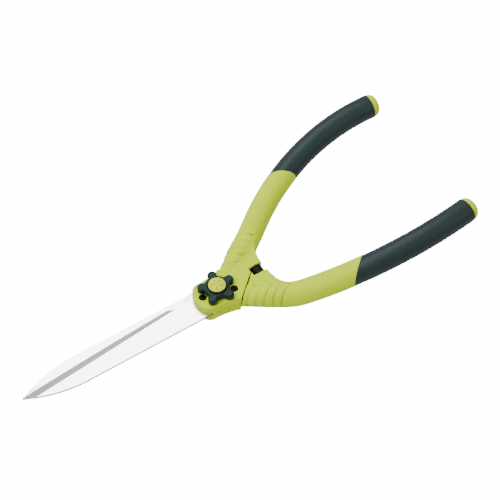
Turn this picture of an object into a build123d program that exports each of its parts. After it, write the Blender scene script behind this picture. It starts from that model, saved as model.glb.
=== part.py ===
from build123d import *
from math import cos, radians, sin
import os

# Two-handed hedge and topiary shears with straight blades and cranked, bowed handles.
# Millimetres. The origin is on the pivot axis, at the flat underside of the rear hub.
# +Z runs up the pivot bolt to the tension knob, the blades point along -X and the
# handles along +X. The front (upper) half carries the +Y handle, the rear (lower)
# half the -Y handle, and the halves meet face to face at split_z.

# --- hub ---------------------------------------------------------------------
hub_radius = 26.5            # rounded front end of each half-lap hub
hub_half_width = 18.6
hub_waist = (-3.0, 18.7)     # narrowest part of the hub's side
hub_corner = (15.8, 23.1)    # where the hub's side meets the lap joint
hub_rounding = 11.0
hub_top_edge = 1.2
hub_bottom_edge = 3.0
hub_top = 23.0               # upper face of the front hub
split_z = 11.5               # plane in which the two blades slide on each other
slide_gap = 0.1              # play between the two halves
lap_distance = 28.6          # from the pivot to the straight shoulder of each half-lap
lap_angle = 48.8             # direction of that shoulder, below the blade line
mask_size = 200.0            # larger than the hub in every direction

# --- blades ------------------------------------------------------------------
blade_length = 231.0         # pivot to tip
blade_thickness = 3.0
spine_offset = 17.6          # spine's distance from the blade line
tip_radius = 1.6
belly_x = -163.0             # where the spine starts to curve towards the tip
edge_root = (-54.6, 12.0)    # cutting edge at the relief notch
bevel_depth = 2.1            # ground off at the cutting edge
heel_x = 2.0                 # rounded end of the blade in its handle
heel_reach = 22.5

# --- handles -----------------------------------------------------------------
grip_radius = 13.5
arm_radius = 13.7
tube_radius = 10.0
tube_wall = 1.5
arm_z = 14.5                 # centre of the arm before the crank
leg_length = 82.7            # pivot to the crank
leg_angle = 33.0             # arm's direction in plan
leg_start = 52.0
leg_sections = [             # distance, height below arm_z, half height, half width
    (14.0, 1.5, 9.0, 12.6),
    (33.0, 2.0, 11.2, 12.2),
]
rib_count = 5                # shallow finger ribs on the outside of the arm
rib_first = 37.0
rib_pitch = 9.4
rib_slant = 24.0
rib_radius = 1.9
rib_offset = 0.9
rib_side = -8.0              # the ribs end just inside the crown of the arm
rib_taper = 0.12             # they sink towards the flattened root of the arm
crank_radius = 45.0
crank_plan = 30.8            # plan direction after the crank
crank_rise = 28.5            # climb after the crank
bow_plan = -44.1             # the handle then bows towards this direction
bow_fall = -25.6
bow_radius = 260.0
bow_start = 13.0             # past the crank, along the centre line
tube_start = 22.0
seam_at = 74.5               # slanted joint between handle moulding and grip
seam_slope_in = 0.39         # the joint runs on towards the inside of the bow
seam_slope_up = 0.66         # and over the top of the handle
grip_end = 206.0
cap_length = 9.0
cap_radius = 12.9
cap_rounding = 7.5
plug_length = 14.0
plug_play = 0.6              # the straight plug clears the bowed tube

# --- pivot hardware ----------------------------------------------------------
bolt_radius = 4.0
running_gap = 0.05
bolt_head_radius = 9.0
bolt_head_height = 3.0
bolt_head_z = 0.8
neck_side = 8.0
neck_height = 3.6
bolt_top = hub_top + 5.7
bush_radius = 5.5
fit_gap = 0.02
washer_seat_z = hub_top - 1.6
washer_radius = 10.0
washer_thickness = 1.0
spring_thickness = 0.9
spring_radius = 8.6

# --- blade screws ------------------------------------------------------------
screw_places = [(-17.4, 0.4), (16.4, -8.0)]
screw_radius = 2.2
screw_head_radius = 4.0
screw_head_height = 2.2
screw_socket = 2.6
front_screw_z = hub_top + 0.3
rear_screw_z = 0.4

# --- tension knob ------------------------------------------------------------
knob_bottom = hub_top + 0.8
knob_height = 6.6
knob_rise = 2.6              # raised middle under the badge
knob_rise_radius = 10.4
knob_core_radius = 13.6
lobe_count = 5
lobe_first = 78.0
lobe_centre = 16.0
lobe_radius = 4.9
nut_flats = 13.0
nut_height = 5.6
badge_radius = 9.2
badge_crown = 2.2
badge_recess = 0.8
badge_rim = 1.0

# --- rubber bumper between the handles ---------------------------------------
bumper_x = 51.2
bumper_z = 16.8
bumper_radius = 7.0
bumper_groove = 1.1
bumper_grooves = [3.5, 7.4]  # from the seat
bumper_face = 5.5            # front handle's striking face; the rear handle's seat mirrors it
bumper_play = 0.15           # left at the striking face with the blades closed
bumper_length = 2 * bumper_face - bumper_play
bumper_hollow = 4.0          # depth of rubber beyond the stud
pocket_start = 43.0
pocket_end = 59.5
stud_radius = 2.5
stud_depth = 7.0
web_bottom = 3.0


# --- placing helpers ---------------------------------------------------------
def heading(plan, rise=0.0):
    """Unit vector from a plan direction and a climb, both in degrees."""
    flat = cos(radians(rise))
    return Vector(flat * cos(radians(plan)), flat * sin(radians(plan)), sin(radians(rise)))


leg_dir = heading(leg_angle)
climb_dir = heading(crank_plan, crank_rise)
bow_hint = heading(bow_plan, bow_fall)
bow_dir = (bow_hint - climb_dir * bow_hint.dot(climb_dir)).normalized()
elbow = leg_dir * leg_length + Vector(0, 0, arm_z)
bow_origin = elbow + climb_dir * bow_start


def along(distance):
    """Point on the handle's centre line, measured past the crank."""
    turn = (distance - bow_start) / bow_radius
    return bow_origin + climb_dir * (bow_radius * sin(turn)) + bow_dir * (bow_radius * (1 - cos(turn)))


def tangent(distance):
    """Direction of the handle's centre line at that distance."""
    turn = (distance - bow_start) / bow_radius
    return climb_dir * cos(turn) + bow_dir * sin(turn)


def section_plane(distance):
    return Plane(origin=along(distance), x_dir=climb_dir.cross(bow_dir), z_dir=tangent(distance))


def rod(radius, start, end):
    """Round bar of the given radius along the bowed stretch of a handle."""
    path = ThreePointArc(along(start), along((start + end) / 2), along(end))
    return sweep(section_plane(start) * Circle(radius), path=path)


def post(radius, low, high, place=(0, 0)):
    """Upright cylinder between two heights."""
    return Pos(place[0], place[1], (low + high) / 2) * Cylinder(radius, high - low)


def slab(low, high):
    """Everything between two heights."""
    return Pos(0, 0, (low + high) / 2) * Box(4 * mask_size, 4 * mask_size, high - low)


def half_space(side):
    """Everything on one side of the blade line: +1 for the front handle's side, -1 for the rear's."""
    return Pos(0, side * mask_size, 0) * Box(4 * mask_size, 2 * mask_size, 4 * mask_size)


def to_rear(shape):
    """Mirror a handle piece of the front half into the rear half."""
    return mirror(shape, about=Plane.XZ)


def flip(shape):
    """Turn a front blade or its screws over about the blade line for the rear half."""
    return Pos(0, 0, split_z) * Rot(180, 0, 0) * Pos(0, 0, -split_z) * shape


# --- blades ------------------------------------------------------------------
def blade_outline():
    edge_tip = (-blade_length + tip_radius, tip_radius * 0.7)
    spine_tip = (-blade_length + tip_radius, -tip_radius * 0.9)
    heel_low = (heel_x, -spine_offset)
    heel_high = (heel_x, spine_offset)
    lines = [
        ThreePointArc(edge_tip, (-blade_length, -0.2), spine_tip),
        ThreePointArc(spine_tip, (-201, -12.6), (belly_x, -spine_offset)),
        Line((belly_x, -spine_offset), heel_low),
        ThreePointArc(heel_low, (heel_reach, 0), heel_high),
        Polyline(heel_high, (-25, 16.2), (-33.5, 13.6), (-36, 8.3), (-47, 7.6), edge_root),
        ThreePointArc(edge_root, (-140, 7.6), edge_tip),
    ]
    return make_face(Curve() + lines)


def grinding():
    """Waste ground off the front face along the cutting edge."""
    top = split_z + slide_gap / 2 + blade_thickness
    root = Vector(-48, 7.8, top)
    tip = Vector(-216, -6.4, top)
    edge = Vector(-140, 7.6, top - bevel_depth)
    run = (tip - root).normalized()
    across = (edge - root) - run * (edge - root).dot(run)
    up = run.cross(across.normalized())
    up = up if up.Z > 0 else up * -1
    plane = Plane(origin=root, x_dir=run, z_dir=up)
    block = plane * Pos(100, 0, 10) * Box(206, 60, 20)
    return block & Pos(-150, 0, 0) * Box(2 * 102, 100, 100)


def front_blade():
    low = split_z + slide_gap / 2
    blade = Pos(0, 0, low) * extrude(blade_outline(), blade_thickness)
    blade -= grinding()
    blade -= post(bush_radius + fit_gap, 0, hub_top)
    for place in screw_places:
        blade -= post(screw_radius, 0, hub_top, place)
    return blade


def rear_blade():
    low = split_z + slide_gap / 2
    blade = Pos(0, 0, low) * extrude(blade_outline(), blade_thickness)
    blade -= grinding()
    blade -= post(bolt_radius + running_gap, 0, hub_top)
    for place in screw_places:
        blade -= post(screw_radius, 0, hub_top, place)
    return flip(blade)


# --- handle mouldings --------------------------------------------------------
def seam_plane():
    """Slanted plane between the handle moulding and the grip."""
    side = climb_dir.cross(bow_dir)
    inward = side.cross(tangent(seam_at))
    normal = tangent(seam_at) - inward * seam_slope_in + side * seam_slope_up
    return Plane(origin=along(seam_at), z_dir=normal.normalized())


def beyond_seam(far_side):
    """Half space beyond the seam, or before it."""
    offset = mask_size / 2 if far_side else -mask_size / 2
    return seam_plane() * Pos(0, 0, offset) * Box(80, 80, mask_size)


def arm():
    """Solid arm of the front handle, from the hub to past the seam."""
    start = leg_dir * leg_start + Vector(0, 0, arm_z)
    bend = FilletPolyline(start, elbow, bow_origin, radius=crank_radius)
    bow = ThreePointArc(bow_origin, along(60), along(seam_at + 15))
    first = Plane(origin=start, x_dir=(0, 0, 1), z_dir=leg_dir)
    tube = sweep(first * Circle(arm_radius), path=Wire(bend.edges() + bow.edges()))
    rings = []
    for distance, drop, half_height, half_width in leg_sections:
        place = Plane(origin=leg_dir * distance + Vector(0, 0, arm_z - drop), x_dir=(0, 0, 1), z_dir=leg_dir)
        rings.append(place * Ellipse(half_height, half_width))
    flare = loft(rings + [first * Circle(arm_radius)])
    return tube + flare


def rib_cuts():
    """Slanted grooves across the outer side of the front arm."""
    cuts = []
    for index in range(rib_count):
        distance = rib_first + index * rib_pitch
        short = max(leg_start - distance, 0)
        centre = leg_dir * distance + Vector(0, 0, arm_z - rib_taper * short)
        ring = Torus(arm_radius + rib_offset - rib_taper * short, rib_radius)
        cuts.append(Plane(origin=centre, z_dir=heading(leg_angle + rib_slant)) * ring)
    outside = Plane(origin=leg_dir * leg_start + Vector(0, 0, arm_z + 12), x_dir=leg_dir)
    return [cut & outside * Pos(0, rib_side + 15, 0) * Box(100, 30, 40) for cut in cuts]


def lap_shoulder(side):
    """Half space beyond the straight shoulder on the rear (-1) or front (+1) handle's side."""
    turned = Rot(0, 0, side * lap_angle)
    return turned * Pos(lap_distance + mask_size / 2, 0, 0) * Box(mask_size, 2 * mask_size, mask_size)


def hub_outline():
    """Plan outline of the hub: a round nose and slightly waisted sides."""
    nose = -(hub_radius**2 - hub_half_width**2) ** 0.5
    lines = [
        ThreePointArc((nose, -hub_half_width), (-hub_radius, 0), (nose, hub_half_width)),
        ThreePointArc((nose, hub_half_width), hub_waist, hub_corner),
        Line(hub_corner, (hub_corner[0], -hub_corner[1])),
        ThreePointArc((hub_corner[0], -hub_corner[1]), (hub_waist[0], -hub_waist[1]), (nose, -hub_half_width)),
    ]
    outline = make_face(Curve() + lines)
    return fillet(outline.vertices().group_by(Axis.X)[0], hub_rounding)


def web_outline():
    """Web that fills the crotch between the hub and the front arm."""
    points = [
        (0, 0), (hub_corner[0], -hub_corner[1]), (pocket_start, 0.3),
        (pocket_start, bumper_face), (pocket_end, bumper_face),
    ]
    web_end = (pocket_end + 16, 36)
    lines = [
        Polyline(*points),
        ThreePointArc(points[-1], (62, 19.5), web_end),
        Line(web_end, (0, 0)),
    ]
    return make_face(Curve() + lines)


def front_plate(low):
    """Front hub and web in one plate, rounded along the upper edge."""
    plate = Pos(0, 0, low) * extrude(hub_outline() + web_outline(), hub_top - low)
    return fillet(plate.edges().group_by(Axis.Z)[-1], hub_top_edge)


def rear_plate(high):
    """Rear hub, rounded along the lower edge."""
    plate = extrude(hub_outline(), high)
    return fillet(plate.edges().group_by(Axis.Z)[0], hub_bottom_edge)


def arm_and_web(web_top):
    """Front handle's arm and web, before the half-lap is cut."""
    web = Pos(0, 0, web_bottom) * extrude(web_outline(), web_top - web_bottom)
    return web + arm() - rib_cuts()


def socket_cut():
    """Bore that holds the core tube."""
    return rod(tube_radius, tube_start, seam_at + 20)


def front_handle():
    low = split_z + slide_gap / 2
    body = arm_and_web(split_z + 2)
    body -= slab(-5, low) - lap_shoulder(1)
    body -= lap_shoulder(-1) & half_space(-1)
    body += front_plate(low)
    body -= Pos(0, 0, low) * extrude(blade_outline(), blade_thickness)
    body -= socket_cut()
    body -= beyond_seam(True)
    body -= post(bush_radius + fit_gap, 0, hub_top + 1)
    body -= post(washer_radius + 0.2, washer_seat_z, hub_top + 1)
    for place in screw_places:
        body -= post(screw_radius, 0, hub_top + 1, place)
        body -= post(screw_head_radius + 0.2, front_screw_z - screw_head_height, hub_top + 1, place)
    return body


def rear_handle():
    high = split_z - slide_gap / 2
    body = to_rear(arm_and_web(hub_top))
    body -= slab(high, 60) - lap_shoulder(-1)
    body -= lap_shoulder(1) & half_space(1)
    body += rear_plate(high)
    body -= flip(Pos(0, 0, split_z + slide_gap / 2) * extrude(blade_outline(), blade_thickness))
    body -= to_rear(socket_cut())
    body -= to_rear(beyond_seam(True))
    body -= post(bolt_radius + running_gap, -1, high + 1)
    body -= post(bolt_head_radius + 0.3, -1, bolt_head_z + bolt_head_height)
    body -= Pos(0, 0, bolt_head_z + bolt_head_height) * extrude(Rectangle(neck_side, neck_side), neck_height)
    for x, y in screw_places:
        body -= post(screw_radius, -1, high + 1, (x, -y))
        body -= post(screw_head_radius + 0.2, -1, rear_screw_z + screw_head_height, (x, -y))
    body -= Pos(bumper_x, -bumper_face, bumper_z) * Rot(90, 0, 0) * Cylinder(stud_radius, 2 * stud_depth)
    return body


# --- grips, tubes and caps ---------------------------------------------------
def core_tube():
    return rod(tube_radius, tube_start, grip_end) - rod(tube_radius - tube_wall, tube_start - 1, grip_end + 1)


def grip():
    sleeve = rod(grip_radius, seam_at - 20, grip_end) - rod(tube_radius, seam_at - 21, grip_end + 1)
    return sleeve - beyond_seam(False)


def end_cap():
    """Rounded cap with a plug that fits inside the tube."""
    dome = post(cap_radius, 0, cap_length)
    dome = fillet(dome.edges().group_by(Axis.Z)[-1], cap_rounding)
    plug = post(tube_radius - tube_wall - plug_play, -plug_length, 1)
    return section_plane(grip_end) * (dome + plug)


# --- fasteners ---------------------------------------------------------------
def blade_screw(place):
    """Button-head socket screw, head up."""
    low = split_z + slide_gap / 2 + 0.3
    head = post(screw_head_radius, front_screw_z - screw_head_height, front_screw_z, place)
    head = fillet(head.edges().group_by(Axis.Z)[-1], 1.2)
    shank = post(screw_radius, low, front_screw_z - screw_head_height, place)
    socket = Pos(place[0], place[1], front_screw_z - 1.4) * extrude(RegularPolygon(screw_socket / 2, 6), 2)
    return head + shank - socket


def front_blade_screws():
    return Compound(children=[blade_screw(place) for place in screw_places])


def rear_blade_screws():
    """The same screws from below, through the thicker rear boss."""
    screws = []
    for x, y in screw_places:
        place = (x, -y)
        head = post(screw_head_radius, rear_screw_z, rear_screw_z + screw_head_height, place)
        head = fillet(head.edges().group_by(Axis.Z)[0], 1.2)
        shank = post(screw_radius, rear_screw_z + screw_head_height, split_z - 0.35, place)
        socket = Pos(x, -y, rear_screw_z - 0.6) * extrude(RegularPolygon(screw_socket / 2, 6), 2)
        screws.append(head + shank - socket)
    return Compound(children=screws)


def pivot_bolt():
    head_top = bolt_head_z + bolt_head_height
    head = post(bolt_head_radius, bolt_head_z, head_top)
    head = fillet(head.edges().group_by(Axis.Z)[0], 1.4)
    neck = Pos(0, 0, head_top) * extrude(Rectangle(neck_side, neck_side), neck_height)
    shank = post(bolt_radius, head_top, bolt_top)
    shank = chamfer(shank.edges().group_by(Axis.Z)[-1], 0.6)
    return head + neck + shank


def pivot_bush():
    bush = post(bush_radius, split_z + slide_gap / 2, washer_seat_z)
    return bush - post(bolt_radius + running_gap, 0, hub_top)


def plain_washer():
    washer = post(washer_radius, washer_seat_z, washer_seat_z + washer_thickness)
    return washer - post(bolt_radius + 0.3, 0, hub_top + 5)


def spring_washer():
    low = washer_seat_z + washer_thickness
    washer = post(spring_radius, low, low + spring_thickness)
    return washer - post(bolt_radius + 0.6, 0, hub_top + 5)


# --- tension knob ------------------------------------------------------------
def knob_outline():
    outline = Circle(knob_core_radius)
    for index in range(lobe_count):
        turned = Rot(0, 0, lobe_first + index * 360 / lobe_count)
        outline += turned * Pos(lobe_centre, 0) * Circle(lobe_radius)
        outline += turned * Pos(lobe_centre / 2, 0) * Rectangle(lobe_centre, 2 * lobe_radius)
    return fillet(outline.vertices(), 3.0)


def nut_blank():
    low = washer_seat_z + washer_thickness + spring_thickness
    return Pos(0, 0, low) * extrude(RegularPolygon(nut_flats / 2, 6, major_radius=False), nut_height)


def tension_knob():
    top = knob_bottom + knob_height
    knob = Pos(0, 0, knob_bottom) * extrude(knob_outline(), knob_height)
    knob = fillet(knob.edges().group_by(Axis.Z)[-1], 1.8)
    middle = post(knob_rise_radius, top - 1, top + knob_rise)
    knob += fillet(middle.edges().group_by(Axis.Z)[-1], 0.8)
    knob -= nut_blank()
    knob -= post(badge_radius + 0.1, top + knob_rise - badge_recess, top + knob_rise + 1)
    return knob


def knob_nut():
    return nut_blank() - post(bolt_radius + running_gap, 0, 40)


def knob_badge():
    """Domed disc in the knob's recess."""
    low = knob_bottom + knob_height + knob_rise - badge_recess
    disc = post(badge_radius, low, low + badge_rim)
    dome_radius = (badge_radius**2 + badge_crown**2) / (2 * badge_crown)
    ball = Pos(0, 0, low + badge_rim + badge_crown - dome_radius) * Sphere(dome_radius)
    return disc + (ball & post(badge_radius, low + badge_rim, low + badge_rim + badge_crown))


# --- bumper ------------------------------------------------------------------
def bumper():
    """Grooved rubber buffer that stops the handles as the blades close."""
    points = [(stud_radius, 0), (bumper_radius, 0)]
    for groove in bumper_grooves:
        points += [(bumper_radius, groove - 1.1), (bumper_radius - bumper_groove, groove), (bumper_radius, groove + 1.1)]
    points += [
        (bumper_radius, bumper_length - 1.4), (bumper_radius - 1.4, bumper_length), (0, bumper_length),
        (0, bumper_length - bumper_hollow), (stud_radius, bumper_length - bumper_hollow), (stud_radius, 0),
    ]
    body = revolve(Plane.XZ * make_face(Polyline(*points)), Axis.Z)
    return Pos(bumper_x, -bumper_face, bumper_z) * Rot(-90, 0, 0) * body


def bumper_stud():
    length = bumper_length - bumper_hollow + stud_depth
    middle = -bumper_face - stud_depth + length / 2
    return Pos(bumper_x, middle, bumper_z) * Rot(90, 0, 0) * Cylinder(stud_radius, length)


pieces = {
    "rear_blade": rear_blade(),
    "front_blade": front_blade(),
    "rear_handle": rear_handle(),
    "front_handle": front_handle(),
    "rear_core_tube": to_rear(core_tube()),
    "front_core_tube": core_tube(),
    "rear_grip": to_rear(grip()),
    "front_grip": grip(),
    "rear_end_cap": to_rear(end_cap()),
    "front_end_cap": end_cap(),
    "rear_blade_screws": rear_blade_screws(),
    "front_blade_screws": front_blade_screws(),
    "pivot_bolt": pivot_bolt(),
    "pivot_bush": pivot_bush(),
    "plain_washer": plain_washer(),
    "spring_washer": spring_washer(),
    "tension_knob": tension_knob(),
    "knob_nut": knob_nut(),
    "knob_badge": knob_badge(),
    "bumper": bumper(),
    "bumper_stud": bumper_stud(),
}

os.makedirs("parts", exist_ok=True)
for name, shape in pieces.items():
    export_step(shape, f"parts/{name}.step")
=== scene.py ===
from math import cos, radians, sin

import bpy
from mathutils import Matrix, Vector


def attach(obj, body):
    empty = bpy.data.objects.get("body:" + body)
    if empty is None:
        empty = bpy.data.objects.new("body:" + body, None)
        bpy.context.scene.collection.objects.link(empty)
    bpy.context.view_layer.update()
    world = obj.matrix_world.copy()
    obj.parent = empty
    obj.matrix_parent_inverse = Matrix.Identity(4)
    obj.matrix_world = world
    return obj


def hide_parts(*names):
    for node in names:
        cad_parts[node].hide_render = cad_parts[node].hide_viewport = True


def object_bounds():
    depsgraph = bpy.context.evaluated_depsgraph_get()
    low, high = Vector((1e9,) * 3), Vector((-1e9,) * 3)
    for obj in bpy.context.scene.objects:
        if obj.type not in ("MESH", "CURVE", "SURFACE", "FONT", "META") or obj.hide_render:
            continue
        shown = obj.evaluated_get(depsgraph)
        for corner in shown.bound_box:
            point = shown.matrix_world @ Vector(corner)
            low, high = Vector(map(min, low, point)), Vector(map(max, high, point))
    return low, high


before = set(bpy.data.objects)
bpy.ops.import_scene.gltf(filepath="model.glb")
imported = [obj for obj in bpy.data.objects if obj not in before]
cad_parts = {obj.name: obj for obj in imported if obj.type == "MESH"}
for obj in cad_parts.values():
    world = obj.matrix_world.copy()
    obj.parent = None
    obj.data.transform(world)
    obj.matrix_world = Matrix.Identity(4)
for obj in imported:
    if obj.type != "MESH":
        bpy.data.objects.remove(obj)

bl_info = {
    "name": "Topiary Shears",
    "version": (1, 0, 0),
    "blender": (4, 5, 0),
    "location": "View3D > Sidebar > Shears",
    "description": "Dresses a pair of two-handed topiary shears built around their machined frame",
    "category": "Object",
}

FRAME_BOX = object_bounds()
MERGE_DISTANCE = 0.00001
CLEARANCE = 0.0001

# Driving sizes, in metres and degrees, in the frame's own axes.
HUB_TOP = 0.023
SPLIT_Z = 0.0115
LAP_ANGLE = 48.8                # straight joint between the two handles
LAP_DISTANCE = 0.0282
LAP_LINE = 0.00055              # half width of the painted shade line along that joint
BLADE_FACE_Z = 0.01455
BEVEL_HEEL = (-0.048, 0.0078)   # where the ground bevel's inner line leaves the hub
BEVEL_SLOPE = 0.0845
RIM_SHADE_DEPTHS = (0.0001, 0.0029)   # painted shade on the blade's side wall, as depths from its outer face
BUMPER_SEAT = Vector((0.0512, -0.0055, 0.0168))
BUMPER_LENGTH = 0.01085
BUMPER_RADIUS = 0.0070
BUMPER_GROOVES = (0.0035, 0.0074)
KNOB_SEAT = HUB_TOP + 0.0092    # floor of the knob's recess for the badge
KNOB_VOXEL = 0.0004
BADGE_BALL = 0.0203             # radius of the badge's domed crown
BADGE_TOP = KNOB_SEAT + 0.0030
BADGE_GROOVE = 0.0076           # radius of the line round the badge
ROSETTE_RADIUS = 0.0065
LEAF_COUNT = 5
LEAF_PLACE = 0.0038
LEAF_RADIUS = 0.0011
LEG_ANGLE = 33.0
ELBOW_REACH = 0.0827
ARM_Z = 0.0145
ELBOW = Vector((ELBOW_REACH * cos(radians(LEG_ANGLE)), ELBOW_REACH * sin(radians(LEG_ANGLE)), ARM_Z))
BOW_RADIUS = 0.260
BOW_START = 0.013
SEAM_AT = 0.0745
SEAM_SLOPES = (0.39, 0.66)      # lean of the joint with the grip, inwards and upwards
GRIP_END = 0.206
TUBE_RADIUS = 0.010
SLEEVE_SPARE = 0.016            # length swept before the seam, then cut off on its slant

# Where the arm runs into the web: least height, then ranges along and across the arm.
CROTCH_FLOOR = 0.0165
CROTCH_AHEAD = (0.020, 0.080)
CROTCH_ACROSS = (-0.0185, -0.0065)

CAMERA_TOWARD = (-0.3195, -0.4934, 0.8090)
CAMERA_DISTANCE = 1.454
CAMERA_TARGET = (0.0608, 0.0300, BLADE_FACE_Z)
CAMERA_LENS = 96.5
WORLD_STRENGTH = 0.5
FLOOR_GLOW = 16.0
SOFTBOXES = (                   # name, target, place, side and power in watts
    ("blade_softbox", (-0.12, 0, BLADE_FACE_Z), (0.125, 0.593, 1.03), 0.62, 10),
    ("key_softbox", (0.06, 0.03, 0.02), (-0.75, 0.25, 1.35), 0.9, 21),
    ("fill_softbox", (0.06, 0.03, 0.02), (0.9, -1.1, 1.1), 1.2, 6),
)


def heading(plan, rise=0.0):
    """Unit vector from a plan direction and a climb, both in degrees."""
    flat = cos(radians(rise))
    return Vector((flat * cos(radians(plan)), flat * sin(radians(plan)), sin(radians(rise))))


CLIMB = heading(30.8, 28.5)
BOW_HINT = heading(-44.1, -25.6)
BOW = (BOW_HINT - CLIMB * BOW_HINT.dot(CLIMB)).normalized()
BOW_CENTRE = ELBOW + CLIMB * BOW_START + BOW * BOW_RADIUS
BOW_AXIS = CLIMB.cross(BOW)


def along(distance):
    """Point on the front handle's centre line, measured past the crank."""
    turn = (distance - BOW_START) / BOW_RADIUS
    return BOW_CENTRE + (CLIMB * sin(turn) - BOW * cos(turn)) * BOW_RADIUS


def tangent(distance):
    """Direction of the front handle's centre line there."""
    turn = (distance - BOW_START) / BOW_RADIUS
    return CLIMB * cos(turn) + BOW * sin(turn)


def seam_normal():
    """Normal of the slanted joint between a moulding and its grip, towards the grip."""
    inward_slope, upward_slope = SEAM_SLOPES
    inward = BOW_AXIS.cross(tangent(SEAM_AT))
    return (tangent(SEAM_AT) - inward * inward_slope + BOW_AXIS * upward_slope).normalized()


# ---------------------------------------------------------------------------
# Modelling helpers
# ---------------------------------------------------------------------------
def choose(*objects):
    """Makes these the only selected objects, the first of them active."""
    bpy.ops.object.select_all(action="DESELECT")
    for piece in objects:
        piece.select_set(True)
    bpy.context.view_layer.objects.active = objects[0]


def edit(piece, mode="FACE"):
    """Enters edit mode on one piece with nothing selected."""
    choose(piece)
    bpy.ops.object.mode_set(mode="EDIT")
    bpy.ops.mesh.select_mode(type=mode)
    bpy.ops.mesh.select_all(action="DESELECT")


def leave():
    bpy.ops.object.mode_set(mode="OBJECT")


def pick(piece, test):
    """Selects the vertices that pass a test, from edit mode."""
    bpy.ops.object.mode_set(mode="OBJECT")
    for vertex in piece.data.vertices:
        vertex.select = test(vertex)
    bpy.ops.object.mode_set(mode="EDIT")


def add_modifier(piece, kind, **settings):
    """Adds one modifier with its settings and applies it."""
    choose(piece)
    modifier = piece.modifiers.new(kind.title(), kind)
    for key, value in settings.items():
        setattr(modifier, key, value)
    bpy.ops.object.modifier_apply(modifier=modifier.name)


def settle(piece, name):
    """Puts the piece's place into its mesh and gives it its name."""
    choose(piece)
    bpy.ops.object.transform_apply(location=True, rotation=True, scale=True)
    piece.name = name
    piece.data.name = name


def recalculate(piece):
    """Merges doubles and turns the faces outwards."""
    edit(piece, "VERT")
    bpy.ops.mesh.select_all(action="SELECT")
    bpy.ops.mesh.remove_doubles(threshold=MERGE_DISTANCE)
    bpy.ops.mesh.normals_make_consistent(inside=False)
    leave()


def smooth(piece, angle=35):
    choose(piece)
    bpy.ops.object.shade_smooth_by_angle(angle=radians(angle))


def copy_of_node(node, name):
    """A merged copy of a frame node's mesh, as the start of a new piece."""
    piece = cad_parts[node].copy()
    piece.data = piece.data.copy()
    for key in list(piece.keys()):
        del piece[key]
    piece.parent = None
    bpy.context.scene.collection.objects.link(piece)
    piece.name = name
    piece.data.name = name
    piece.data.materials.clear()
    edit(piece, "VERT")
    bpy.ops.mesh.select_all(action="SELECT")
    bpy.ops.mesh.remove_doubles(threshold=MERGE_DISTANCE)
    leave()
    return piece


def mirrored(piece, name):
    """The rear handle's copy of a front handle piece."""
    twin = piece.copy()
    twin.data = piece.data.copy()
    bpy.context.scene.collection.objects.link(twin)
    twin.matrix_world = Matrix.Scale(-1, 4, (0, 1, 0))
    settle(twin, name)
    recalculate(twin)
    return twin


def turned(name, profile, steps=64):
    """A turned solid about Z from (radius, height) pairs, drawn up ring by ring from a disc."""
    radius, height = profile[0]
    bpy.ops.object.select_all(action="DESELECT")
    bpy.ops.mesh.primitive_circle_add(
        vertices=steps, radius=radius, fill_type="NGON", location=(0, 0, height))
    piece = bpy.context.object
    settle(piece, name)
    edit(piece)
    bpy.ops.mesh.select_all(action="SELECT")
    for next_radius, next_height in profile[1:]:
        bpy.ops.mesh.extrude_region_move(
            TRANSFORM_OT_translate={"value": (0, 0, next_height - height)})
        scale = next_radius / radius
        bpy.ops.transform.resize(value=(scale, scale, 1), center_override=(0, 0, next_height))
        radius, height = next_radius, next_height
    leave()
    recalculate(piece)
    return piece


def rounded(centre, start, end, radius, steps=5):
    """Ring pairs round a convex corner, from one angle to another in degrees."""
    pairs = []
    for step in range(steps + 1):
        angle = radians(start + (end - start) * step / steps)
        pairs.append((centre[0] + radius * cos(angle), centre[1] + radius * sin(angle)))
    return pairs


def aim(piece, place, direction):
    """Moves a piece made about Z to a place, with Z along a direction."""
    piece.location = place
    piece.rotation_euler = direction.to_track_quat("Z", "Y").to_euler()
    settle(piece, piece.name)


def softened(node, name, width, segments=2):
    """A frame node's copy with its sharp edges rounded."""
    piece = copy_of_node(node, name)
    add_modifier(
        piece, "BEVEL", width=width, segments=segments, limit_method="ANGLE", angle_limit=radians(32))
    smooth(piece)
    return piece


def join(pieces):
    choose(*pieces)
    bpy.ops.object.join()
    return pieces[0]


def dress(piece, body, slot, finish, *nodes):
    """Gives a finished piece its material and body, and hides the frame nodes it stands for. The slot is
    not used.
    """
    piece.data.materials.clear()
    piece.data.materials.append(finish)
    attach(piece, body)
    if nodes:
        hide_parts(*nodes)


# ---------------------------------------------------------------------------
# Shader helpers
# ---------------------------------------------------------------------------
class Wire:
    """A shader socket that Python's arithmetic works on."""

    def __init__(self, shader, socket):
        self.shader = shader
        self.socket = socket

    def maths(self, operation, *values):
        return self.shader.node("ShaderNodeMath", {"operation": operation}, *values)

    def __add__(self, other):
        return self.maths("ADD", self, other)

    def __sub__(self, other):
        return self.maths("SUBTRACT", self, other)

    def __rsub__(self, other):
        return self.maths("SUBTRACT", other, self)

    def __mul__(self, other):
        return self.maths("MULTIPLY", self, other)

    def clamp(self):
        return self.maths("MINIMUM", self.maths("MAXIMUM", self, 0.0), 1.0)

    def absolute(self):
        return self.maths("ABSOLUTE", self)

    def root(self):
        return self.maths("SQRT", self)


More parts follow.
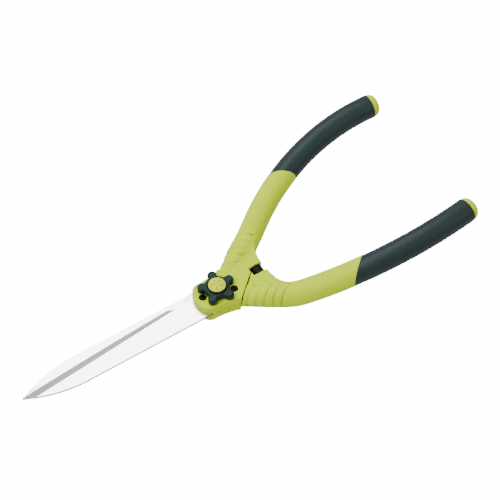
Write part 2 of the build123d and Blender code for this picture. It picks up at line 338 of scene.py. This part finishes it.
class Finish:
    """Builds one procedural material."""

    def __init__(self, name):
        self.material = bpy.data.materials.new(name)
        self.material.use_nodes = True
        self.tree = self.material.node_tree
        self.tree.nodes.clear()
        self.surface = self.tree.nodes.new("ShaderNodeBsdfPrincipled")
        self.output = self.tree.nodes.new("ShaderNodeOutputMaterial")
        self.tree.links.new(self.surface.outputs["BSDF"], self.output.inputs["Surface"])
        self.place = self.node("ShaderNodeTexCoord", {}, output="Object")

    def node(self, kind, settings=None, *values, output=0, **named):
        """Adds a node: its settings first, then its inputs by order or by name."""
        made = self.tree.nodes.new(kind)
        for key, value in (settings or {}).items():
            setattr(made, key, value)
        inputs = list(enumerate(values)) + [(key.replace("_", " "), value) for key, value in named.items()]
        for key, value in inputs:
            self.feed(made.inputs[key], value)
        return Wire(self, made.outputs[output])

    def feed(self, socket, value):
        if isinstance(value, Wire):
            self.tree.links.new(value.socket, socket)
        else:
            socket.default_value = value

    def set(self, **named):
        """Sets or links sockets of the surface shader."""
        for key, value in named.items():
            self.feed(self.surface.inputs[key.replace("_", " ")], value)
        return self

    def axes(self):
        """The piece's x, y and z as three wires."""
        split = self.tree.nodes.new("ShaderNodeSeparateXYZ")
        self.feed(split.inputs[0], self.place)
        return [Wire(self, split.outputs[index]) for index in range(3)]

    def noise(self, scale, detail=3.0, stretch=(1, 1, 1), turn=0.0, output=0):
        """Noise over the piece. The scale is in blobs per metre."""
        place = self.node("ShaderNodeMapping", {}, Vector=self.place, Scale=stretch, Rotation=(0, 0, turn))
        return self.node("ShaderNodeTexNoise", {}, Vector=place, Scale=scale, Detail=detail, output=output)

    def ramp(self, value, *stops):
        """Smooth steps from (position, brightness) pairs."""
        made = self.tree.nodes.new("ShaderNodeValToRGB")
        points = made.color_ramp.elements
        while len(points) < len(stops):
            points.new(0.5)
        for point, (position, level) in zip(points, stops):
            point.position = position
            point.color = (level, level, level, 1)
        self.feed(made.inputs[0], value)
        return Wire(self, made.outputs[0])

    def mix(self, mask, low, high):
        """Colour between two colours by a mask."""
        made = self.tree.nodes.new("ShaderNodeMix")
        made.data_type = "RGBA"
        self.feed(made.inputs[0], mask)
        self.feed(made.inputs[6], low)
        self.feed(made.inputs[7], high)
        return Wire(self, made.outputs[2])

    def bump(self, height, distance, strength=1.0, normal=None):
        named = {"Strength": strength, "Distance": distance, "Height": height}
        if normal is not None:
            named["Normal"] = normal
        return self.node("ShaderNodeBump", {}, **named)


def shade(colour, factor):
    """A colour made lighter or darker, as a socket value."""
    return (colour[0] * factor, colour[1] * factor, colour[2] * factor, 1.0)


def moulded_plastic(name, colour, roughness, sheen=0.5, joint=False):
    """Injection-moulded plastic: faint mottling, fine spark grain and a soft gloss."""
    finish = Finish(name)
    mottle = finish.noise(38, 4)
    fine = finish.noise(5200, 2)
    wear = finish.ramp(finish.noise(260, 6), (0.52, 0.0), (0.72, 1.0))
    skin = finish.mix(mottle, shade(colour, 0.96), shade(colour, 1.04))
    if joint:
        # Painted shade: a thin near-black line along the straight joint between the two handles.
        skin = finish.mix(lap_shadow(finish), skin, shade((0.03, 0.04, 0.0), 1.0))
    finish.set(
        Base_Color=skin,
        Roughness=(fine * 0.05 + wear * 0.07) + (roughness - 0.05),
        IOR=1.49,
        Specular_IOR_Level=sheen,
        Normal=finish.bump(fine, 0.00002, 0.35, finish.bump(mottle, 0.0003, 0.12)),
    )
    return finish.material


def lap_shadow(finish):
    """Mask of the painted shade line in the straight joint between the two handles, on both levels."""
    x, y, z = finish.axes()
    upper = ((z - SPLIT_Z) * 20000).clamp()
    sideways = y * (1.0 - upper * 2.0)
    offset = (x * cos(radians(LAP_ANGLE)) + sideways * sin(radians(LAP_ANGLE)) - LAP_DISTANCE).absolute()
    return ((LAP_LINE - offset) * 6000).clamp() * ((sideways + 0.0005) * 5000).clamp()


def soft_rubber(name, colour, roughness, sheen=0.16):
    """Soft-touch rubber: even matt skin with a fine stipple and faint handling marks."""
    finish = Finish(name)
    stipple = finish.noise(2600, 2)
    cloud = finish.noise(46, 5)
    marks = finish.ramp(finish.noise(150, 8, (1, 1, 0.35)), (0.5, 0.0), (0.75, 1.0))
    finish.set(
        Base_Color=finish.mix((cloud * 0.7 + marks * 0.3).clamp(), shade(colour, 0.9), shade(colour, 1.14)),
        Roughness=(cloud * 0.08 + stipple * 0.04) + (roughness - 0.06),
        IOR=1.5,
        Specular_IOR_Level=sheen,
        Normal=finish.bump(stipple, 0.00002, 0.2),
    )
    return finish.material


def plated_steel(name, colour, roughness):
    """Plated or drawn steel with fine random scuffs."""
    finish = Finish(name)
    scuff = finish.noise(900, 6, (1, 1, 6))
    cloud = finish.noise(70, 3)
    finish.set(
        Base_Color=finish.mix(cloud, shade(colour, 0.94), shade(colour, 1.04)),
        Metallic=1.0,
        Roughness=(scuff * 0.16 + cloud * 0.05) + (roughness - 0.1),
        Normal=finish.bump(scuff, 0.00001, 0.3),
    )
    return finish.material


def ground_blade(name, side):
    """Polished blade with a finer ground bevel and painted shade on its side wall. The side is +1 for the
    front blade, -1 for the rear.
    """
    finish = Finish(name)
    x, y, z = finish.axes()
    heel_x, heel_y = BEVEL_HEEL
    inner = (x - heel_x) * BEVEL_SLOPE + heel_y
    bevel = ((y * side - inner) * 4000).clamp()
    outer_face = BLADE_FACE_Z if side > 0 else 2 * SPLIT_Z - BLADE_FACE_Z
    depth = (outer_face - z) * side
    # Painted shade: the blade's side wall between these depths, away from the bevel, is coloured near
    # black.
    near, far = RIM_SHADE_DEPTHS
    rim = ((depth - near) * 12000).clamp() * ((far - depth) * 12000).clamp() * (1.0 - bevel)
    polish = finish.noise(1500, 4, (7, 0.6, 1))
    grind = finish.noise(2600, 3, (9, 0.35, 1), radians(8))
    smear = finish.noise(32, 4, (0.5, 1.6, 1))
    steel = finish.mix(bevel, shade((0.86, 0.87, 0.88), 1.0), shade((0.78, 0.79, 0.80), 1.0))
    finish.set(
        Base_Color=finish.mix(rim, steel, shade((0.05, 0.05, 0.05), 1.0)),
        Metallic=1.0,
        Roughness=(polish * 0.10 + smear * 0.06) + bevel * (grind * 0.08 + 0.04) + 0.12,
        Normal=finish.bump(bevel * grind + polish * 0.4, 0.000012, 0.35),
    )
    return finish.material


def marked_badge(name, colour, mark):
    """Moulded badge whose rosette and rim line are printed a little darker."""
    finish = Finish(name)
    x, y, z = finish.axes()
    flat = x * x + y * y
    radius = flat.root()
    dome = (BADGE_BALL * BADGE_BALL - flat).root() + (BADGE_TOP - BADGE_BALL)
    raised = ((z - dome) * 9000 - 1.0).clamp() * ((ROSETTE_RADIUS - radius) * 4000).clamp()
    line = (1.0 - (radius - BADGE_GROOVE).absolute() * 3500).clamp()
    speckle = finish.noise(900, 3)
    finish.set(
        Base_Color=finish.mix((raised + line * 0.8).clamp(), shade(colour, 1.0), shade(mark, 1.0)),
        Roughness=speckle * 0.1 + 0.36,
        IOR=1.49,
        Specular_IOR_Level=0.1,
        Normal=finish.bump(speckle, 0.00003, 0.2),
    )
    return finish.material


# ---------------------------------------------------------------------------
# Settings
# ---------------------------------------------------------------------------
class ShearsSizes(bpy.types.PropertyGroup):
    grip_radius: bpy.props.FloatProperty(
        name="Grip radius", description="Outside radius of the soft grips",
        default=0.01345, subtype="DISTANCE", unit="LENGTH")
    lip: bpy.props.FloatProperty(
        name="Grip lip", description="Rounding at the ends of the soft grips",
        default=0.0006, subtype="DISTANCE", unit="LENGTH")
    voxel: bpy.props.FloatProperty(
        name="Moulding detail", description="Cell size of the rounded handle mouldings",
        default=0.0005, subtype="DISTANCE", unit="LENGTH")


class ShearsColours(bpy.types.PropertyGroup):
    lime: bpy.props.FloatVectorProperty(
        name="Lime", description="Handle mouldings and end caps",
        default=(0.50, 0.66, 0.0), subtype="COLOR", size=3)
    grip: bpy.props.FloatVectorProperty(
        name="Grip", description="Soft grip sleeves",
        default=(0.016, 0.028, 0.030), subtype="COLOR", size=3)
    knob: bpy.props.FloatVectorProperty(
        name="Knob", description="Tension knob",
        default=(0.003, 0.020, 0.014), subtype="COLOR", size=3)
    badge: bpy.props.FloatVectorProperty(
        name="Badge", description="Domed disc in the knob",
        default=(0.62, 0.70, 0.0), subtype="COLOR", size=3)


def sizes():
    return bpy.context.scene.shears_sizes


def colours():
    return bpy.context.scene.shears_colours


# ---------------------------------------------------------------------------
# Pieces
# ---------------------------------------------------------------------------
class SHEARS_OT_blades(bpy.types.Operator):
    """Round the edges of both blades and finish their faces and ground bevels"""
    bl_idname = "shears.blades"
    bl_label = "Blades"

    def execute(self, context):
        for side, sign in (("front", 1), ("rear", -1)):
            blade = softened(f"{side}_blade", f"{side}_ground_blade", 0.00018)
            smooth(blade, 8)
            steel = ground_blade(f"{side}_blade_steel", sign)
            dress(blade, f"{side}_half", "blade_steel", steel, f"{side}_blade")
        return {"FINISHED"}


class SHEARS_OT_handles(bpy.types.Operator):
    """Round and finish the two handle mouldings"""
    bl_idname = "shears.handles"
    bl_label = "Handle mouldings"

    def execute(self, context):
        lime = moulded_plastic("lime_moulding", colours().lime, 0.5, 0.06, joint=True)
        for side in ("front", "rear"):
            moulding = copy_of_node(f"{side}_handle", f"{side}_moulding")
            add_modifier(moulding, "REMESH", mode="VOXEL", voxel_size=sizes().voxel, use_smooth_shade=True)
            add_modifier(moulding, "SMOOTH", factor=0.5, iterations=5)
            sign = 1 if side == "front" else -1
            edit(moulding, "VERT")
            pick(moulding, lambda vertex: self.in_crotch(vertex.co, sign))
            bpy.ops.mesh.vertices_smooth(factor=0.5, repeat=90)
            leave()
            dress(moulding, f"{side}_half", "lime_moulding", lime, f"{side}_handle")
        return {"FINISHED"}

    def in_crotch(self, place, sign):
        """True on the upper skin where the arm runs into the web."""
        outward = Vector((-sin(radians(LEG_ANGLE)), cos(radians(LEG_ANGLE)) * sign, 0))
        onward = Vector((cos(radians(LEG_ANGLE)), sin(radians(LEG_ANGLE)) * sign, 0))
        across, ahead = place.dot(outward), place.dot(onward)
        along_web = CROTCH_AHEAD[0] < ahead < CROTCH_AHEAD[1]
        beside_arm = CROTCH_ACROSS[0] < across < CROTCH_ACROSS[1]
        return place.z > CROTCH_FLOOR and along_web and beside_arm


class SHEARS_OT_grips(bpy.types.Operator):
    """Model the soft grip sleeves"""
    bl_idname = "shears.grips"
    bl_label = "Grips"

    def execute(self, context):
        rubber = soft_rubber("soft_grip", colours().grip, 0.46)
        start = SEAM_AT - SLEEVE_SPARE
        radius = sizes().grip_radius
        bpy.ops.object.select_all(action="DESELECT")
        bpy.ops.mesh.primitive_circle_add(vertices=96, radius=radius)
        sleeve = context.object
        sleeve.name = "front_sleeve"
        aim(sleeve, along(start), tangent(start))

        # Sweep the ring along the bow, then cut its near end on the slant of the joint.
        edit(sleeve, "EDGE")
        bpy.ops.mesh.select_all(action="SELECT")
        bpy.ops.mesh.spin(
            steps=60, angle=-(GRIP_END - CLEARANCE - start) / BOW_RADIUS,
            center=BOW_CENTRE, axis=BOW_AXIS)
        bpy.ops.mesh.select_all(action="SELECT")
        bpy.ops.mesh.bisect(plane_co=along(SEAM_AT), plane_no=seam_normal(), clear_inner=True)
        leave()
        recalculate(sleeve)

        wall = radius - TUBE_RADIUS - CLEARANCE
        add_modifier(sleeve, "SOLIDIFY", thickness=wall, offset=-1, use_rim=True, use_even_offset=True)
        add_modifier(
            sleeve, "BEVEL", width=sizes().lip, segments=3, limit_method="ANGLE", angle_limit=radians(45))
        for side, piece in (("rear", mirrored(sleeve, "rear_sleeve")), ("front", sleeve)):
            smooth(piece, 40)
            dress(piece, f"{side}_half", "soft_grip", rubber, f"{side}_grip")
        return {"FINISHED"}


class SHEARS_OT_caps(bpy.types.Operator):
    """Model the end caps"""
    bl_idname = "shears.caps"
    bl_label = "End caps"

    def execute(self, context):
        lime = moulded_plastic("cap_lime", colours().lime, 0.5, 0.06)
        plug = [(0.0070, -0.0136), (0.0077, -0.0130), (0.0077, 0.0)]
        rim = [(0.0121, 0.0001), (0.0128, 0.0005)]
        dome = rounded((0.0054, 0.0015), 0, 90, 0.0075, 10)
        dimple = [(0.0044, 0.0089), (0.0038, 0.0085), (0.0020, 0.0084)]
        cap = turned("front_cap", plug + rim + dome + dimple)
        aim(cap, along(GRIP_END), tangent(GRIP_END))
        for side, piece in (("rear", mirrored(cap, "rear_cap")), ("front", cap)):
            smooth(piece, 40)
            dress(piece, f"{side}_half", "lime_moulding", lime, f"{side}_end_cap")
        return {"FINISHED"}


class SHEARS_OT_knob(bpy.types.Operator):
    """Round the tension knob and model its domed badge"""
    bl_idname = "shears.knob"
    bl_label = "Tension knob"

    def execute(self, context):
        knob = copy_of_node("tension_knob", "lobed_knob")
        add_modifier(knob, "REMESH", mode="VOXEL", voxel_size=KNOB_VOXEL, use_smooth_shade=True)
        add_modifier(knob, "SMOOTH", factor=0.5, iterations=4)
        green = moulded_plastic("knob_green", colours().knob, 0.44, 0.13)
        dress(knob, "knob", "knob_green", green, "tension_knob")

        disc = [(0.0088, KNOB_SEAT + 0.00001), (0.0091, KNOB_SEAT + 0.0003), (0.0091, KNOB_SEAT + 0.0009)]
        crown = []
        for radius in (0.0088, 0.0080, BADGE_GROOVE, 0.0072, 0.0062, 0.0050, 0.0036, 0.0020, 0.0008):
            height = BADGE_TOP - BADGE_BALL + (BADGE_BALL**2 - radius**2) ** 0.5
            groove = 0.0003 if radius == BADGE_GROOVE else 0.0
            crown.append((radius, height - groove))
        badge = turned("domed_badge", disc + crown, 72)
        leaves = [self.leaf(index * 360 / LEAF_COUNT + 18) for index in range(LEAF_COUNT)]
        badge = join([badge] + leaves)
        smooth(badge, 40)
        finish = marked_badge("badge_lime", colours().badge, (0.42, 0.40, 0.0))
        dress(badge, "knob", "badge_lime", finish, "knob_badge")
        return {"FINISHED"}

    def leaf(self, turn):
        """One small raised leaf of the badge's rosette."""
        bpy.ops.object.select_all(action="DESELECT")
        bpy.ops.mesh.primitive_circle_add(
            vertices=20, radius=LEAF_RADIUS, fill_type="NGON", location=(0, 0, BADGE_TOP - 0.0016))
        leaf = bpy.context.object
        settle(leaf, "leaf")
        edit(leaf)
        bpy.ops.mesh.select_all(action="SELECT")
        bpy.ops.transform.resize(value=(2.0, 1.0, 1.0), center_override=(0, 0, 0))
        bpy.ops.mesh.extrude_region_move(TRANSFORM_OT_translate={"value": (0, 0, 0.0015)})
        bpy.ops.mesh.inset(thickness=0.0004, depth=0.0001)
        leave()
        edit(leaf, "VERT")
        pick(leaf, lambda vertex: vertex.co.x > 0.0012)
        bpy.ops.transform.resize(value=(1.0, 0.5, 1.0), center_override=(0, 0, 0))
        leave()
        leaf.location = (LEAF_PLACE * cos(radians(turn)), LEAF_PLACE * sin(radians(turn)), 0)
        leaf.rotation_euler = (0, 0, radians(turn))
        settle(leaf, "leaf")
        recalculate(leaf)
        return leaf


class SHEARS_OT_bumper(bpy.types.Operator):
    """Model the grooved rubber bumper"""
    bl_idname = "shears.bumper"
    bl_label = "Bumper"

    def execute(self, context):
        profile = [(0.0064, 0.0), (BUMPER_RADIUS, 0.0005)]
        half_groove = ((BUMPER_RADIUS, 0.0013), (0.0068, 0.0009), (0.0059, 0.0003))
        for groove in BUMPER_GROOVES:
            profile += [(radius, groove - half) for radius, half in half_groove]
            profile += [(radius, groove + half) for radius, half in reversed(half_groove)]
        profile += rounded((0.0056, BUMPER_LENGTH - 0.0014), 0, 90, 0.0014)
        profile += [(0.0030, BUMPER_LENGTH)]
        buffer = turned("grooved_bumper", profile, 56)
        aim(buffer, BUMPER_SEAT, Vector((0, 1, 0)))
        smooth(buffer)
        rubber = soft_rubber("bumper_rubber", (0.004, 0.004, 0.004), 0.45, 0.14)
        dress(buffer, "rear_half", "bumper_rubber", rubber, "bumper")
        return {"FINISHED"}


class SHEARS_OT_hardware(bpy.types.Operator):
    """Round the screws and finish the bolt, bush, washers, nut and tubes"""
    bl_idname = "shears.hardware"
    bl_label = "Hardware"

    def execute(self, context):
        oxide = plated_steel("black_oxide", (0.006, 0.006, 0.007), 0.42)
        for side in ("front", "rear"):
            screws = softened(f"{side}_blade_screws", f"{side}_button_screws", 0.0002)
            dress(screws, f"{side}_half", "black_screw", oxide, f"{side}_blade_screws")
        finishes = {
            plated_steel("zinc_steel", (0.62, 0.63, 0.64), 0.34):
                ("pivot_bolt", "plain_washer", "spring_washer", "knob_nut", "bumper_stud"),
            plated_steel("bush_brass", (0.75, 0.56, 0.24), 0.3): ("pivot_bush",),
            plated_steel("tube_steel", (0.50, 0.51, 0.52), 0.4): ("front_core_tube", "rear_core_tube"),
        }
        for finish, nodes in finishes.items():
            for node in nodes:
                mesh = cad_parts[node].data
                mesh.materials.clear()
                mesh.materials.append(finish)
        return {"FINISHED"}


class SHEARS_OT_stage(bpy.types.Operator):
    """Set the floor, the soft lights and the camera"""
    bl_idname = "shears.stage"
    bl_label = "Stage"

    def execute(self, context):
        self.floor(context)
        world = bpy.data.worlds.new("studio")
        world.use_nodes = True
        world.node_tree.nodes["Background"].inputs[0].default_value = (1, 1, 1, 1)
        world.node_tree.nodes["Background"].inputs[1].default_value = WORLD_STRENGTH
        context.scene.world = world
        for name, target, place, size, power in SOFTBOXES:
            lamp = bpy.data.lights.new(name, "AREA")
            lamp.shape = "SQUARE"
            lamp.size = size
            lamp.energy = power
            holder = bpy.data.objects.new(name, lamp)
            holder.location = place
            holder.rotation_euler = (Vector(target) - Vector(place)).to_track_quat("-Z", "Y").to_euler()
            context.scene.collection.objects.link(holder)
        self.camera(context)
        return {"FINISHED"}

    def floor(self, context):
        """Plain floor that glows white to the camera and is matt paint to every other ray."""
        bpy.ops.object.select_all(action="DESELECT")
        bpy.ops.mesh.primitive_plane_add(size=12, location=(0, 0, FRAME_BOX[0][2]))
        floor = context.object
        settle(floor, "floor")
        paint = Finish("floor_paint")
        white = (0.8, 0.8, 0.8)
        cloud = paint.mix(paint.noise(3), shade(white, 1.0), shade(white, 1.02))
        paint.set(Base_Color=cloud, Roughness=0.9)
        glow = paint.tree.nodes.new("ShaderNodeEmission")
        glow.inputs["Strength"].default_value = FLOOR_GLOW
        blend = paint.tree.nodes.new("ShaderNodeMixShader")
        paint.feed(blend.inputs[0], paint.node("ShaderNodeLightPath", output="Is Camera Ray"))
        paint.tree.links.new(paint.surface.outputs["BSDF"], blend.inputs[1])
        paint.tree.links.new(glow.outputs["Emission"], blend.inputs[2])
        paint.tree.links.new(blend.outputs["Shader"], paint.output.inputs["Surface"])
        floor.data.materials.append(paint.material)

    def camera(self, context):
        toward = Vector(CAMERA_TOWARD).normalized()
        lens = bpy.data.cameras.new("camera")
        lens.sensor_width = 36
        lens.lens = CAMERA_LENS
        camera = bpy.data.objects.new("camera", lens)
        camera.location = Vector(CAMERA_TARGET) + toward * CAMERA_DISTANCE
        camera.rotation_euler = (-toward).to_track_quat("-Z", "Y").to_euler()
        context.scene.collection.objects.link(camera)
        context.scene.camera = camera


class SHEARS_PT_panel(bpy.types.Panel):
    """Lists the steps that dress the shears"""
    bl_idname = "SHEARS_PT_panel"
    bl_label = "Topiary Shears"
    bl_space_type = "VIEW_3D"
    bl_region_type = "UI"
    bl_category = "Shears"

    def draw(self, context):
        layout = self.layout
        for group in (context.scene.shears_sizes, context.scene.shears_colours):
            for key in group.__annotations__:
                layout.prop(group, key)
        for step in STEPS:
            layout.operator(step.bl_idname)


STEPS = (SHEARS_OT_blades, SHEARS_OT_handles, SHEARS_OT_grips, SHEARS_OT_caps, SHEARS_OT_knob,
         SHEARS_OT_bumper, SHEARS_OT_hardware, SHEARS_OT_stage)
CLASSES = (ShearsSizes, ShearsColours) + STEPS + (SHEARS_PT_panel,)


def register():
    for cls in CLASSES:
        bpy.utils.register_class(cls)
    bpy.types.Scene.shears_sizes = bpy.props.PointerProperty(type=ShearsSizes)
    bpy.types.Scene.shears_colours = bpy.props.PointerProperty(type=ShearsColours)


def unregister():
    del bpy.types.Scene.shears_sizes
    del bpy.types.Scene.shears_colours
    for cls in reversed(CLASSES):
        bpy.utils.unregister_class(cls)


def main():
    register()
    for step in STEPS:
        group, name = step.bl_idname.split(".")
        getattr(getattr(bpy.ops, group), name)()


if __name__ == "__main__":
    main()
